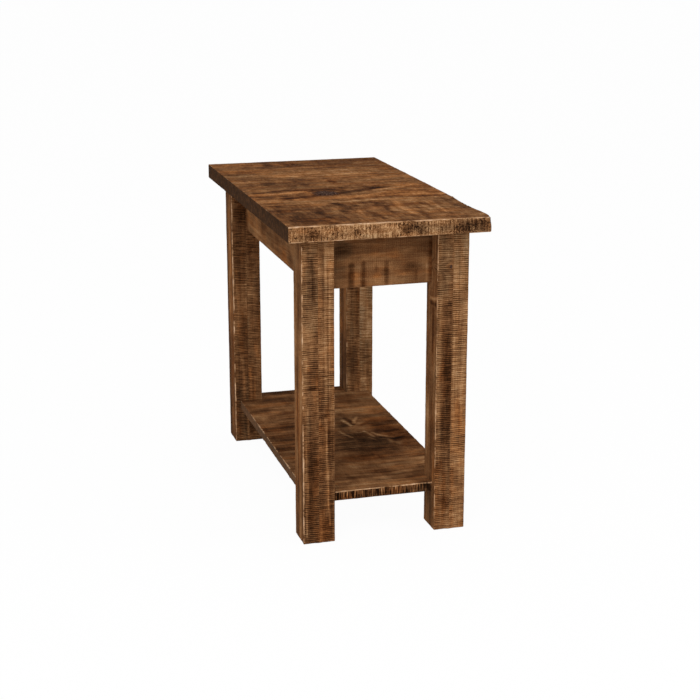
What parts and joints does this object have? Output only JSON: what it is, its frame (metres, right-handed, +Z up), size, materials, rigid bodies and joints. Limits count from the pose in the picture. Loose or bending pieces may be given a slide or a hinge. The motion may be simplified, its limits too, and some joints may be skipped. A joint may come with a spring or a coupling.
{
  "type": "rustic side table",
  "caption": "Narrow rough-sawn wooden side table with a thick boarded top on square legs and aprons, and a low shelf notched round the legs.",
  "frame": {"origin": "on the floor, under the middle of the top", "axes": "+Z up, +Y along the long side towards the back, +X across the short side; the front faces -Y"},
  "size_m": [0.3938, 0.762, 0.635],
  "materials": {
    "top_wood": "brown stain, satin, rough sawn",
    "leg_wood": "brown stain, satin, rough sawn with worn arrises",
    "apron_wood": "brown stain, satin, rough sawn",
    "shelf_wood": "brown stain, satin, rough sawn",
    "block_wood": "bare planed hardwood",
    "dowel_wood": "bare birch",
    "screw_steel": "zinc plated"
  },
  "bodies": {
    "root": {"apron_back": "apron_wood", "apron_front": "apron_wood", "apron_left": "apron_wood", "apron_right": "apron_wood", "corner_block_back_left": "block_wood", "corner_block_back_right": "block_wood", "corner_block_front_left": "block_wood", "corner_block_front_right": "block_wood", "corner_block_screws": "screw_steel", "leg_back_left_inner": "leg_wood", "leg_back_left_outer": "leg_wood", "leg_back_right_inner": "leg_wood", "leg_back_right_outer": "leg_wood", "leg_front_left_inner": "leg_wood", "leg_front_left_outer": "leg_wood", "leg_front_right_inner": "leg_wood", "leg_front_right_outer": "leg_wood", "shelf_board_back": "shelf_wood", "shelf_board_front": "shelf_wood", "shelf_board_middle": "shelf_wood", "shelf_dowels": "dowel_wood", "shelf_screws": "screw_steel", "top_board_back": "top_wood", "top_board_front": "top_wood", "top_board_mid_back": "top_wood", "top_board_mid_front": "top_wood", "top_button_screws": "screw_steel", "top_buttons": "block_wood", "top_dowels": "dowel_wood"}
  },
  "joints": []
}
